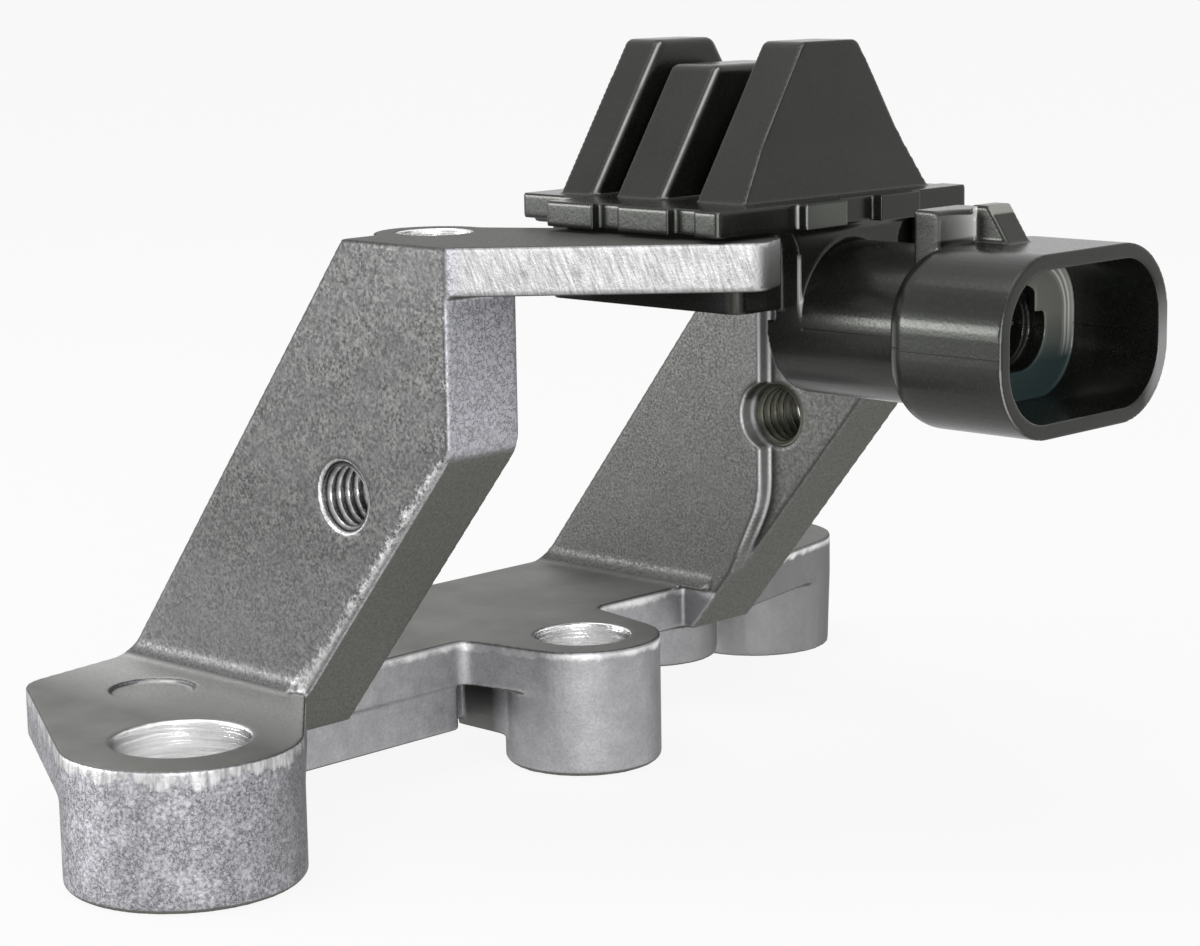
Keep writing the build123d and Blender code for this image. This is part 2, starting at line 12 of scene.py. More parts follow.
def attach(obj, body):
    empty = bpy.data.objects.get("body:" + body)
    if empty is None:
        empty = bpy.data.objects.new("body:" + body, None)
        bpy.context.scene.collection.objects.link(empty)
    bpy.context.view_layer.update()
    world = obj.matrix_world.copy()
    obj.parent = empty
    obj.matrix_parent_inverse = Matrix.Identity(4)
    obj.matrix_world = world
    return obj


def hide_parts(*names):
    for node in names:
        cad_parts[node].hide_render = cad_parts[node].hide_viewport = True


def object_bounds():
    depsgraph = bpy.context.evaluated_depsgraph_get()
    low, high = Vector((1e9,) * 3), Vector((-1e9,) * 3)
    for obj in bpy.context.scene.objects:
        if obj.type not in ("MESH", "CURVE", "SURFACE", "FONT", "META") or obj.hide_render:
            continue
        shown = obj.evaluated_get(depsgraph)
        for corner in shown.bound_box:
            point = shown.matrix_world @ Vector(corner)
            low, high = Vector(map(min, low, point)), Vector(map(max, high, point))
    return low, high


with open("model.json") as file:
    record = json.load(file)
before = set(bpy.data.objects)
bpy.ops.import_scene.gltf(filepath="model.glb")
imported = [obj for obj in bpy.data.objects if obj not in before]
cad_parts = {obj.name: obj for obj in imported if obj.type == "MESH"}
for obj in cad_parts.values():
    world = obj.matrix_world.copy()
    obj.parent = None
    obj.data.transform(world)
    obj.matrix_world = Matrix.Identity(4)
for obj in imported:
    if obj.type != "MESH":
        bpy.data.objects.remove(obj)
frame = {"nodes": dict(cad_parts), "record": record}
cad_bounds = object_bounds()

MM = 0.001
mounts = {mount["name"]: mount for mount in frame["record"]["mounts"]}

# Camera, as the photograph was taken
camera_at = (0.18552, -0.14291, 0.07510)
camera_yaw = 43.403
camera_pitch = 10.596
camera_roll = -0.823
camera_lens = 87.96
camera_shift = (-0.0218, 0.0142)
camera_sensor = 36.0
camera_clip = (0.01, 20.0)

# Background
world_fill = 0.45
world_white = 1.0
floor_half = 6.0
floor_gap = 0.02 * MM
floor_tone = 0.9
floor_glow = 0.9

# Rounding of the edges: size of the net, how often it is smoothed, and triangles kept
cast_voxel = 0.21 * MM
cast_passes = 5
cast_triangles = 180000
moulded_voxel = 0.15 * MM
moulded_passes = 3
moulded_triangles = 180000
smooth_share = 0.5
normal_weight = 60

# Places on the bracket where finishes, painted shade and painted highlights change
plate_bottom = 47.5 * MM
trimmed_from_x = 16.6 * MM
deck_z = 11.8 * MM
base_bottom = 7.5 * MM
pocket_near_y = 32.0 * MM
pocket_far_y = 45.0 * MM
pocket_to_x = -5.6 * MM
boss_rim_z = 10.6 * MM
near_boss_end_y = 9.0 * MM
arm_near_y = 15.4 * MM
far_arm_y = 68.9 * MM
recess_reach = 2.2 * MM

# The arms' edge towards the connector leans from the foot to the knee, both given as x and z
arm_foot = (-2.4 * MM, deck_z)
arm_knee = (16.3 * MM, 34.6 * MM)

# Where a finish starts and where it is full. The deck's pale part has one such pair on each side
calm_y = (60.0 * MM, 75.0 * MM)
foot_light_z = (26.0 * MM, deck_z + 1.5 * MM)
pale_foot_y = ((2.0 * MM, 11.0 * MM), (34.0 * MM, 17.0 * MM))

# The near arm's ragged edge: its width at the foot, half way up and at the top, and where that changes
rag_widths = (2.1 * MM, 1.1 * MM, 0.05 * MM)
rag_wide_z = (deck_z, 20.0 * MM)
rag_end_z = (33.0 * MM, 36.0 * MM)

# Places on the sensor whose finish or painted light differs. The ends of the web's scratch and of its painted
# highlight line are given as y and z
connector_axis = mounts["connector_mouth"]["pos_m"]
neck_from_x = 31.4 * MM
seam_below_axis = 0.3 * MM
mouth_depth = 8.5 * MM
mouth_half = (10.2 * MM, 6.0 * MM)
mouth_corner = 5.0 * MM
mouth_highlight_lines = ((0.45 * MM, 0.6 * MM), (1.0 * MM, 1.1 * MM))
vane_base = 54.0 * MM
middle_vane_end_x = 22.0 * MM
block_middle_x = 43.2 * MM
block_half = 2.2 * MM
latch_start_x = 45.4 * MM
cove_bottom = 51.2 * MM
flange = (51.0 * MM, 54.0 * MM)
web_face_x = 31.2 * MM
web_highlight = ((41.4 * MM, 49.4 * MM), (41.5 * MM, 44.7 * MM))
web_highlight_width = 0.2 * MM
web_scratch = ((42.4 * MM, 46.6 * MM), (41.6 * MM, 44.7 * MM))
web_scratch_width = 0.14 * MM
lit_tooth_from_x = 32.4 * MM
lit_tooth = (39.5 * MM, 45.4 * MM)

# Threads in the side holes. The tubes and the cutters are a little longer than the holes
thread_root = 3.05 * MM
thread_crest = 2.5 * MM
thread_pitch = 1.0 * MM
thread_bore = 3.0 * MM
thread_wall = 0.25 * MM
flank_steepness = 1.25
thread_sides = 40
thread_steps = 12
tube_longer = 0.4 * MM
cutter_longer = 1.0 * MM
cutter_sides = 48

# Spans of a noise that are spread over a whole change
narrow_span = (0.36, 0.64)
usual_span = (0.35, 0.65)
wide_span = (0.3, 0.7)


# Camera, light and background


def make_camera():
    """The camera that took the photograph."""
    data = bpy.data.cameras.new("camera")
    data.sensor_width = camera_sensor
    data.lens = camera_lens
    data.shift_x, data.shift_y = camera_shift
    data.clip_start, data.clip_end = camera_clip
    camera = bpy.data.objects.new("camera", data)
    turn = Matrix.Rotation(math.radians(camera_yaw), 4, "Z")
    tilt = Matrix.Rotation(math.radians(90 - camera_pitch), 4, "X")
    roll = Matrix.Rotation(math.radians(camera_roll), 4, "Z")
    camera.matrix_world = Matrix.Translation(camera_at) @ turn @ tilt @ roll
    bpy.context.scene.collection.objects.link(camera)
    bpy.context.scene.camera = camera


def area_light(name, at, target, width, height, power):
    """A rectangular lamp that shines at a point and isn't seen itself."""
    data = bpy.data.lights.new(name, "AREA")
    data.shape = "RECTANGLE"
    data.size = width
    data.size_y = height
    data.energy = power
    light = bpy.data.objects.new(name, data)
    light.location = at
    way = Vector(target) - Vector(at)
    light.rotation_euler = way.to_track_quat("-Z", "Y").to_euler()
    light.visible_camera = False
    bpy.context.scene.collection.objects.link(light)


def seen_rays(tree):
    """1 for the rays that show the background: to the camera, in metal and through glass."""
    path = tree.nodes.new("ShaderNodeLightPath")
    direct = tree.nodes.new("ShaderNodeMath")
    direct.operation = "MAXIMUM"
    seen = tree.nodes.new("ShaderNodeMath")
    seen.operation = "MAXIMUM"
    tree.links.new(path.outputs["Is Camera Ray"], direct.inputs[0])
    tree.links.new(path.outputs["Is Transmission Ray"], direct.inputs[1])
    tree.links.new(direct.outputs[0], seen.inputs[0])
    tree.links.new(path.outputs["Is Glossy Ray"], seen.inputs[1])
    return seen.outputs[0]


def make_world():
    """White to the camera and in reflections, and a softer fill on everything else."""
    world = bpy.data.worlds.new("studio")
    bpy.context.scene.world = world
    world.use_nodes = True
    tree = world.node_tree
    tree.nodes.clear()
    fill = tree.nodes.new("ShaderNodeBackground")
    fill.inputs["Color"].default_value = (1, 1, 1, 1)
    fill.inputs["Strength"].default_value = world_fill
    white = tree.nodes.new("ShaderNodeBackground")
    white.inputs["Color"].default_value = (1, 1, 1, 1)
    white.inputs["Strength"].default_value = world_white
    mix = tree.nodes.new("ShaderNodeMixShader")
    out = tree.nodes.new("ShaderNodeOutputWorld")
    tree.links.new(seen_rays(tree), mix.inputs[0])
    tree.links.new(fill.outputs[0], mix.inputs[1])
    tree.links.new(white.outputs[0], mix.inputs[2])
    tree.links.new(mix.outputs[0], out.inputs[0])


def make_floor():
    """A pale floor under the part, nearly as white as the background."""
    mesh = bpy.data.meshes.new("floor")
    corners = [(x * floor_half, y * floor_half, 0) for x, y in ((-1, -1), (1, -1), (1, 1), (-1, 1))]
    mesh.from_pydata(corners, [], [(0, 1, 2, 3)])
    floor = bpy.data.objects.new("floor", mesh)
    floor.location.z = cad_bounds[0][2] - floor_gap
    bpy.context.scene.collection.objects.link(floor)
    material = bpy.data.materials.new("floor")
    material.use_nodes = True
    tree = material.node_tree
    tree.nodes.clear()
    share = tree.nodes.new("ShaderNodeMath")
    share.operation = "MULTIPLY"
    share.inputs[1].default_value = floor_glow
    matt = tree.nodes.new("ShaderNodeBsdfDiffuse")
    matt.inputs["Color"].default_value = (floor_tone, floor_tone, floor_tone, 1)
    glow = tree.nodes.new("ShaderNodeEmission")
    glow.inputs["Color"].default_value = (1, 1, 1, 1)
    mix = tree.nodes.new("ShaderNodeMixShader")
    out = tree.nodes.new("ShaderNodeOutputMaterial")
    tree.links.new(seen_rays(tree), share.inputs[0])
    tree.links.new(share.outputs[0], mix.inputs[0])
    tree.links.new(matt.outputs[0], mix.inputs[1])
    tree.links.new(glow.outputs[0], mix.inputs[2])
    tree.links.new(mix.outputs[0], out.inputs[0])
    mesh.materials.append(material)


make_camera()
make_world()
make_floor()
area_light("front", at=(0.37, -0.27, 0.10), target=(0.01, 0.05, 0.04), width=0.10, height=0.10, power=0.65)
area_light("left", at=(-0.31, -0.33, 0.075), target=(0.03, 0.05, 0.045), width=0.26, height=0.07, power=1.2)
area_light("top", at=(-0.10, -0.10, 0.60), target=(0.0, 0.05, 0.03), width=0.4, height=0.4, power=1.0)
bpy.context.scene.view_settings.view_transform = "Standard"


# Material helpers


class Shader:
    """A material's node tree, with short calls for the nodes that this script uses."""

    def __init__(self, name):
        self.material = bpy.data.materials.new(name)
        self.material.use_nodes = True
        self.tree = self.material.node_tree
        self.tree.nodes.clear()
        self.out = self.tree.nodes.new("ShaderNodeOutputMaterial")
        self.skin = self.tree.nodes.new("ShaderNodeBsdfPrincipled")
        self.tree.links.new(self.skin.outputs["BSDF"], self.out.inputs["Surface"])
        self.place = self.tree.nodes.new("ShaderNodeTexCoord").outputs["Object"]
        self.x, self.y, self.z = self.split(self.place)
        normal = self.tree.nodes.new("ShaderNodeNewGeometry").outputs["Normal"]
        self.nx, self.ny, self.nz = self.split(normal)

    def wire(self, output, node, into):
        """Links an output to a node's input."""
        self.tree.links.new(output, node.inputs[into])

    def feed(self, value, node, into):
        """Sets a socket to a number, or links it."""
        if isinstance(value, (int, float)):
            node.inputs[into].default_value = value
        else:
            self.wire(value, node, into)

    def split(self, vector):
        """The three parts of a vector."""
        node = self.tree.nodes.new("ShaderNodeSeparateXYZ")
        self.wire(vector, node, "Vector")
        return node.outputs["X"], node.outputs["Y"], node.outputs["Z"]

    def join(self, x, y, z):
        """A vector from three values."""
        node = self.tree.nodes.new("ShaderNodeCombineXYZ")
        for i, value in enumerate((x, y, z)):
            self.feed(value, node, i)
        return node.outputs["Vector"]

    def noise(self, scale, detail=3.0, rough=0.55, at=None):
        """A cloudy noise from 0 to 1, mostly close to 0.5."""
        node = self.tree.nodes.new("ShaderNodeTexNoise")
        node.inputs["Scale"].default_value = scale
        node.inputs["Detail"].default_value = detail
        node.inputs["Roughness"].default_value = rough
        self.wire(self.place if at is None else at, node, "Vector")
        return node.outputs["Fac"]

    def spread(self, value, low, high, to_low=0.0, to_high=1.0):
        """A value that runs evenly from to_low to to_high between two places, and stays there past them."""
        node = self.tree.nodes.new("ShaderNodeMapRange")
        node.inputs["From Min"].default_value = low
        node.inputs["From Max"].default_value = high
        node.inputs["To Min"].default_value = to_low
        node.inputs["To Max"].default_value = to_high
        self.wire(value, node, "Value")
        return node.outputs["Result"]

    def maths(self, operation, a, b=0.0):
        """One Math node on two values."""
        node = self.tree.nodes.new("ShaderNodeMath")
        node.operation = operation
        self.feed(a, node, 0)
        self.feed(b, node, 1)
        return node.outputs[0]

    def plus(self, a, b):
        return self.maths("ADD", a, b)

    def minus(self, a, b):
        return self.maths("SUBTRACT", a, b)

    def times(self, a, b):
        return self.maths("MULTIPLY", a, b)

    def size(self, value):
        """A value without its sign."""
        return self.maths("ABSOLUTE", value)

    def hypot(self, a, b):
        """The long side of a right-angled triangle."""
        return self.maths("SQRT", self.plus(self.times(a, a), self.times(b, b)))

    def stretched(self, detail, rough, x, y, z):
        """A noise with its own scale along each axis."""
        return self.noise(1, detail, rough, self.join(x, y, z))

    def near(self, value, middle, low, high):
        """1 where a value is closer than low to its middle, 0 from high on."""
        return self.spread(self.size(self.minus(value, middle)), low, high, 1, 0)

    def both(self, *values):
        """The smallest of several masks."""
        result = values[0]
        for value in values[1:]:
            result = self.maths("MINIMUM", result, value)
        return result

    def either(self, *values):
        """The largest of several masks."""
        result = values[0]
        for value in values[1:]:
            result = self.maths("MAXIMUM", result, value)
        return result

    def blend(self, factor, a, b):
        """A colour between a and b."""
        node = self.tree.nodes.new("ShaderNodeMix")
        node.data_type = "RGBA"
        self.wire(factor, node, 0)
        for i, value in ((6, a), (7, b)):
            if isinstance(value, tuple):
                node.inputs[i].default_value = (*value, 1)
            else:
                self.wire(value, node, i)
        return node.outputs[2]

    def mixed(self, factor, a, b):
        """A number between a and b."""
        node = self.tree.nodes.new("ShaderNodeMix")
        node.data_type = "FLOAT"
        self.wire(factor, node, 0)
        self.feed(a, node, 2)
        self.feed(b, node, 3)
        return node.outputs[0]

    def band(self, value, low, high, soft):
        """1 between two values, with soft ends."""
        return self.both(self.spread(value, low - soft, low), self.spread(value, high + soft, high))

    def bump(self, height, strength, distance, after=None):
        """Relief on the normal, on top of an earlier one where that is given."""
        node = self.tree.nodes.new("ShaderNodeBump")
        self.feed(strength, node, "Strength")
        node.inputs["Distance"].default_value = distance
        self.wire(height, node, "Height")
        if after is not None:
            self.wire(after, node, "Normal")
        return node.outputs["Normal"]


# Materials


def grey(tone, blue=0.0):
    """A grey, bluer above 0 and yellower below."""
    return (tone, tone, tone * (1 + blue))


def olive(tone):
    """The black plastic's grey, a little green."""
    return (tone, tone * 1.08, tone * 0.92)


# Where the casting's finishes, painted shade and painted highlights lie: each mask is 1 on its place and 0
# elsewhere


def upright_face(s):
    """1 on faces that stand upright, or nearly so."""
    return s.spread(s.size(s.nz), 0.55, 0.75, 1, 0)


def bore_mask(s):
    """1 on the walls of the bolt holes and seat holes."""
    masks = []
    for mount in mounts.values():
        if mount["kind"] == "bore" and abs(mount["axis"][2]) > 0.9:
            x, y, z = mount["pos_m"]
            away = s.hypot(s.minus(s.x, x), s.minus(s.y, y))
            wall = (mount["dims"]["r_mm"] + 0.1) * MM
            reach = (mount["dims"]["length_mm"] + 0.2) * MM
            masks.append(s.both(
                s.spread(away, wall, wall + 0.2 * MM, 1, 0),
                s.near(s.z, z, reach, reach + 0.1 * MM),
            ))
    return s.both(s.either(*masks), s.spread(s.size(s.nz), 0.7, 0.9, 1, 0))


def plate_edge_mask(s):
    """1 on the top plate's sheared outer edges."""
    return s.both(
        upright_face(s),
        s.spread(s.z, plate_bottom, plate_bottom + 0.15 * MM),
        s.spread(s.x, trimmed_from_x, trimmed_from_x + 0.8 * MM),
    )


def rim_mask(s):
    """1 on the ragged trimmed band under the top edge of the near boss."""
    teeth = s.spread(s.fluted, *wide_span, -0.3 * MM, 0.3 * MM)
    wander = s.spread(s.mottle, *usual_span, -0.5 * MM, 0.5 * MM)
    edge = s.plus(s.plus(s.z, teeth), wander)
    return s.both(
        s.spread(s.size(s.nz), 0.3, 0.45, 1, 0),
        s.spread(edge, boss_rim_z, boss_rim_z + 0.45 * MM),
        s.spread(s.y, near_boss_end_y, near_boss_end_y - 3 * MM),
        s.spread(s.z, deck_z + 0.1 * MM, deck_z + 0.2 * MM, 1, 0),
    )


def deck_edge_highlight_mask(s):
    """1 on the upper edge of the base and its bosses, on the right of the near boss, where a highlight is
    painted.
    """
    edge = s.plus(s.z, s.spread(s.mottle, *usual_span, -0.2 * MM, 0.2 * MM))
    return s.both(
        s.spread(edge, deck_z - 0.95 * MM, deck_z - 0.55 * MM),
        s.spread(s.nz, 1.0, 0.7),
        s.spread(s.nz, -0.3, -0.15),
        s.spread(s.nx, 0.1, 0.4),
        s.spread(s.y, near_boss_end_y, near_boss_end_y + 3 * MM),
        s.spread(s.z, deck_z - 0.2 * MM, deck_z - 0.35 * MM),
    )


def pocket_shade_mask(s):
    """1 in the pocket under the base, between the rib's end and the middle boss, where shade is painted."""
    return s.both(
        s.spread(s.z, base_bottom + 0.1 * MM, base_bottom - 0.3 * MM),
        s.band(s.y, pocket_near_y, pocket_far_y, 0.5 * MM),
        s.spread(s.x, pocket_to_x + 1.5 * MM, pocket_to_x - 0.5 * MM),
        s.spread(s.ny, -0.3, -0.6),
    )


def axis_distance(s, mount):
    """Distance from the axis of a side hole."""
    return s.hypot(s.minus(s.x, mount["pos_m"][0]), s.minus(s.z, mount["pos_m"][2]))


def thread_mouth_mask(s):
    """1 on the small bevel round the near side hole."""
    away = axis_distance(s, mounts["near_side_thread"])
    return s.both(
        s.spread(away, thread_bore + 0.5 * MM, thread_bore + 0.4 * MM),
        s.spread(s.size(s.ny), 0.96, 0.9),
        s.spread(s.y, arm_near_y + 4 * MM, arm_near_y + 3 * MM),
    )


def edge_distance(s):
    """How far a point of an arm is from its leaning edge, and from its upright edge above the knee."""
    run = Vector(arm_knee) - Vector(arm_foot)
    run.normalize()
    dx = s.minus(s.x, arm_foot[0])
    dz = s.minus(s.z, arm_foot[1])
    inside = s.minus(s.times(dz, run[0]), s.times(dx, run[1]))
    return s.both(inside, s.minus(arm_knee[0], s.x))


def lit_recess_step_mask(s):
    """1 on the step down to the recess round the far side hole, which faces the light: painted light makes it
    pale.
    """
    return s.both(
        s.band(s.y, far_arm_y, far_arm_y + recess_reach, 0.3 * MM),
        s.spread(s.nx, 0.2, 0.5),
        s.spread(edge_distance(s), 0.7 * MM, 1.1 * MM),
        s.band(s.z, deck_z + 1.5 * MM, plate_bottom - 1 * MM, 0.5 * MM),
    )


def arm_edge_mask(s):
    """1 along the near arm's ragged leaning edge, thin above the knee. Its pale band is partly the ragged
    metal of the edge and partly a painted highlight.
    """
    place = s.both(
        s.spread(s.y, arm_near_y + 0.3 * MM, arm_near_y + 0.4 * MM, 1, 0),
        s.spread(s.z, deck_z + 0.1 * MM, deck_z + 0.6 * MM),
        s.spread(s.z, plate_bottom, plate_bottom - 0.5 * MM),
    )
    at_foot, at_middle, at_top = rag_widths
    width = s.mixed(s.spread(s.z, *rag_wide_z), at_foot, at_middle)
    width = s.mixed(s.spread(s.z, *rag_end_z), width, at_top)
    wander = s.spread(s.ragged, *wide_span, -0.5 * MM, 0.5 * MM)
    pits = s.spread(s.grain, *wide_span, -0.5 * MM, 0.5 * MM)
    reach = s.plus(s.plus(width, wander), pits)
    return s.both(place, s.spread(s.minus(reach, edge_distance(s)), 0, 0.9 * MM))


def side_mask(s):
    """1 on upright faces towards the connector, all round the near boss, and on the base's sides."""
    beside_boss = s.spread(s.y, near_boss_end_y, near_boss_end_y - 4 * MM)
    low = s.spread(s.z, deck_z - 0.1 * MM, deck_z - 0.4 * MM)
    return s.both(s.either(s.spread(s.nx, 0.25, 0.8), beside_boss, low), upright_face(s))


# The casting's colours


def cast_noises(s):
    """The noises that the casting's masks and colours share, and how calm its far end is."""
    s.grain = s.noise(3800, 4, 0.65)
    s.fine = s.spread(s.grain, *narrow_span)
    s.speck = s.noise(3000, 4, 0.7)
    s.crease = s.noise(1700, 4, 0.65)
    s.mottle = s.noise(420, 4, 0.6)
    s.patches = s.noise(130, 3)
    s.ragged = s.noise(700, 3, 0.6)
    across = s.plus(s.plus(s.x, s.y), s.times(s.z, 0.5))
    s.streaks = s.stretched(4, 0.65, s.times(across, 2200), 0.0, s.times(s.z, 520))
    s.fluted = s.stretched(3, 0.6, s.times(s.x, 1500), s.times(s.y, 1500), s.times(s.z, 350))
    s.rings = s.stretched(2, 0.5, s.times(s.x, 150), s.times(s.y, 150), s.times(s.z, 3000))
    s.calm = s.spread(s.y, *calm_y, 0, 0.65)


def cast_tone(s):
    """The casting's grain: calmer on the far arm, paler at the near arm's foot and on the backs."""
    tone = s.blend(s.fine, grey(0.048), grey(0.16, -0.02))
    tone = s.blend(s.spread(s.mottle, 0.42, 0.62, 0, 0.5), tone, grey(0.09))
    tone = s.blend(s.spread(s.patches, 0.45, 0.7, 0, 0.4), tone, grey(0.13))
    tone = s.blend(s.calm, tone, grey(0.1, -0.08))
    foot_light = s.both(s.spread(s.z, *foot_light_z, 0, 0.55), s.spread(s.y, arm_near_y + 6 * MM, arm_near_y))
    tone = s.blend(foot_light, tone, s.blend(s.fine, grey(0.15), grey(0.24)))
    behind = s.either(s.spread(s.nx, -0.3, -0.5), s.spread(s.ny, 0.5, 0.7))
    return s.blend(behind, tone, s.blend(s.fine, grey(0.15, -0.02), grey(0.3, -0.02)))


def side_tone(s):
    """Speckled and creased sides, more even past the near boss and paler above the knee. Their pale greys are
    partly their speckled finish and partly painted light, and faces turned away get painted shade.
    """
    tone = s.blend(s.spread(s.speck, *narrow_span), grey(0.2, 0.1), grey(0.6, 0.05))
    tone = s.blend(s.spread(s.mottle, 0.4, 0.65, 0, 0.55), tone, grey(0.33, 0.04))
    creased = s.both(s.near(s.crease, 0.5, 0.01, 0.035), s.spread(s.mottle, 0.42, 0.52))
    tone = s.blend(s.times(creased, 0.8), tone, grey(0.09, 0.1))
    even = s.blend(s.spread(s.mottle, *usual_span), grey(0.38, 0.03), grey(0.52, 0.02))
    even = s.blend(s.spread(s.grain, 0.4, 0.6, 0, 0.4), even, grey(0.27, 0.05))
    farther = s.both(
        s.spread(s.y, near_boss_end_y, near_boss_end_y + 6 * MM),
        s.spread(s.z, deck_z + 2 * MM, deck_z),
    )
    tone = s.blend(s.times(farther, 0.85), tone, even)
    # Paler above the knee: partly painted light.
    upper = s.spread(s.z, arm_knee[1] - 2 * MM, arm_knee[1] + 2 * MM)
    tone = s.blend(s.times(upper, 0.4), tone, grey(0.8, 0.08))
    veined = s.spread(s.size(s.minus(s.crease, 0.5)), 0.01, 0.045, 0.6, 0)
    tone = s.blend(s.times(upper, veined), tone, grey(0.14, 0.1))
    tone = s.blend(s.calm, tone, grey(0.2))
    # Faces turned away from the connector's side are painted darker: painted shade.
    away = s.either(
        s.spread(s.nx, -0.2, -0.6, 0, 0.4),
        s.both(s.spread(s.ny, 0.0, 0.4), s.spread(s.nx, 0.2, 0.5)),
    )
    return s.blend(s.times(away, 0.5), tone, grey(0.18))


def top_tone(s):
    """Faces that look up, paler beside the near arm's foot and darker on the top plate. Their dark greys are
    partly a smoother face and partly painted shade.
    """
    tone = s.blend(s.spread(s.patches, *usual_span), grey(0.2, -0.06), grey(0.27, -0.05))
    rising, falling = pale_foot_y
    tone = s.blend(s.both(s.spread(s.y, *rising), s.spread(s.y, *falling)), tone, grey(0.55, -0.02))
    # The top plate is painted darker still: painted shade.
    tone = s.blend(s.spread(s.z, deck_z + 2 * MM, plate_bottom), tone, grey(0.12, -0.08))
    return s.blend(s.spread(s.grain, 0.4, 0.6, 0, 0.3), tone, grey(0.12))


def pocket_shade_tone(s):
    """Painted shade in the pocket under the base: darkest near the base, a dark grey lower down."""
    depth = s.spread(s.z, base_bottom - 3.5 * MM, base_bottom - 1 * MM)
    return s.blend(depth, grey(0.13, -0.05), grey(0.025, -0.1))


def cast_aluminium():
    """The casting: its grain, and each other finish, painted shade and painted highlight laid over it where
    its mask is 1.
    """
    s = Shader("cast_aluminium")
    cast_noises(s)
    side = side_mask(s)
    top = s.spread(s.nz, 0.8, 0.95)
    under = s.spread(s.nz, -0.3, -0.5)
    cut_face = plate_edge_mask(s)
    bores = bore_mask(s)
    torn = rim_mask(s)
    ragged_edge_and_sheen = arm_edge_mask(s)
    bevel = thread_mouth_mask(s)

    # The sides' paler tone is partly their speckled finish and partly painted light.
    tone = s.blend(side, cast_tone(s), side_tone(s))
    # Painted light on the step down to the far recess.
    tone = s.blend(s.times(lit_recess_step_mask(s), 0.7), tone, grey(0.65))
    tone = s.blend(top, tone, top_tone(s))
    # Faces that look down get a dull grey of their own: painted shade.
    tone = s.blend(under, tone, s.blend(s.fine, grey(0.135, -0.08), grey(0.19, -0.08)))
    # Painted shade in the pocket under the base.
    tone = s.blend(s.times(pocket_shade_mask(s), 0.9), tone, pocket_shade_tone(s))

    sheared = s.blend(s.spread(s.streaks, 0.33, 0.62), grey(0.22), grey(0.46))
    # Where the cut face turns towards the connector it is paler still: a painted highlight.
    sheared = s.blend(s.spread(s.nx, 0.78, 0.92), sheared, grey(0.62))
    tone = s.blend(cut_face, tone, sheared)
    tone = s.blend(torn, tone, s.blend(s.spread(s.fluted, 0.38, 0.62), grey(0.34), grey(0.7)))
    # The ragged edge's pale band: partly its metal, partly a painted highlight.
    tone = s.blend(ragged_edge_and_sheen, tone, s.blend(s.fine, grey(0.28), grey(0.5)))
    # A painted highlight along the upper edge of the base and its bosses.
    wear_and_sheen = s.blend(s.spread(s.mottle, 0.35, 0.6), grey(0.6), grey(0.95))
    tone = s.blend(s.times(deck_edge_highlight_mask(s), 0.9), tone, wear_and_sheen)
    tone = s.blend(bevel, tone, s.blend(s.spread(s.grain, 0.4, 0.6), grey(0.5), grey(0.9)))
    tone = s.blend(bores, tone, s.blend(s.spread(s.rings, 0.36, 0.52), grey(0.84), grey(1.0)))
    s.wire(tone, s.skin, "Base Color")

    s.wire(s.mixed(top, 1.0, 0.6), s.skin, "Metallic")
    s.skin.inputs["Specular Tint"].default_value = (0.5, 0.5, 0.5, 1)
    rough = s.spread(s.grain, *usual_span, 0.58, 0.44)
    rough = s.mixed(s.either(cut_face, torn, ragged_edge_and_sheen, bevel), rough, 0.42)
    s.wire(s.mixed(bores, rough, 0.26), s.skin, "Roughness")

    depth = s.mixed(top, 0.45, 0.15)
    depth = s.mixed(side, depth, 0.7)
    depth = s.mixed(s.calm, depth, 0.1)
    relief = s.bump(s.grain, depth, 0.05 * MM)
    relief = s.bump(s.streaks, s.times(cut_face, 0.5), 0.05 * MM, relief)
    s.wire(s.bump(s.rings, bores, 0.06 * MM, relief), s.skin, "Normal")
    return s.material


def thread_metal(name, mount, groove_shade, low, high, rough):
    """Metal of a thread, between two greys on its crests and with painted shade in its grooves."""
    s = Shader(name)
    wear_and_sheen = s.noise(1800, 3)
    tone = s.blend(s.spread(wear_and_sheen, *wide_span), low, high)
    # Painted shade in the thread's grooves.
    groove = s.spread(axis_distance(s, mount), thread_crest + 0.1 * MM, thread_root - 0.15 * MM)
    s.wire(s.blend(groove, tone, groove_shade), s.skin, "Base Color")
    s.skin.inputs["Metallic"].default_value = 1.0
    s.wire(s.spread(wear_and_sheen, *wide_span, rough, rough * 0.8), s.skin, "Roughness")
    s.wire(s.bump(wear_and_sheen, 0.2, 0.02 * MM), s.skin, "Normal")
    return s.material


# The plastic's finishes and painted light


def edge_mask(s, wear_and_sheen):
    """1 on the small rounded upright edges that turn from the near side to the connector's side, where a
    highlight is painted.
    """
    towards = s.both(
        s.band(s.nx, 0.5, 0.75, 0.08),
        s.spread(s.ny, -0.25, -0.4),
        s.band(s.nz, -0.3, 0.6, 0.15),
        s.spread(s.size(s.minus(s.x, block_middle_x)), block_half, block_half + 0.2 * MM),
    )
    low = s.spread(s.z, flange[0] - 0.5 * MM, flange[0], 0.3, 1)
    return s.times(s.both(towards, s.spread(wear_and_sheen, 0.3, 0.5, 0.35, 1)), low)


def vane_edge_highlight_mask(s, wear_and_sheen):
    """1 along the rounded edges of the rear and the middle vane, where a highlight is painted."""
    edge = s.both(
        s.band(s.nx, 0.58, 0.68, 0.08),
        s.spread(s.ny, -0.2, -0.35),
        s.spread(s.x, middle_vane_end_x, middle_vane_end_x - 0.1 * MM),
        s.spread(s.z, vane_base, vane_base + 0.5 * MM),
    )
    return s.times(edge, s.spread(wear_and_sheen, 0.3, 0.6, 0.6, 1))


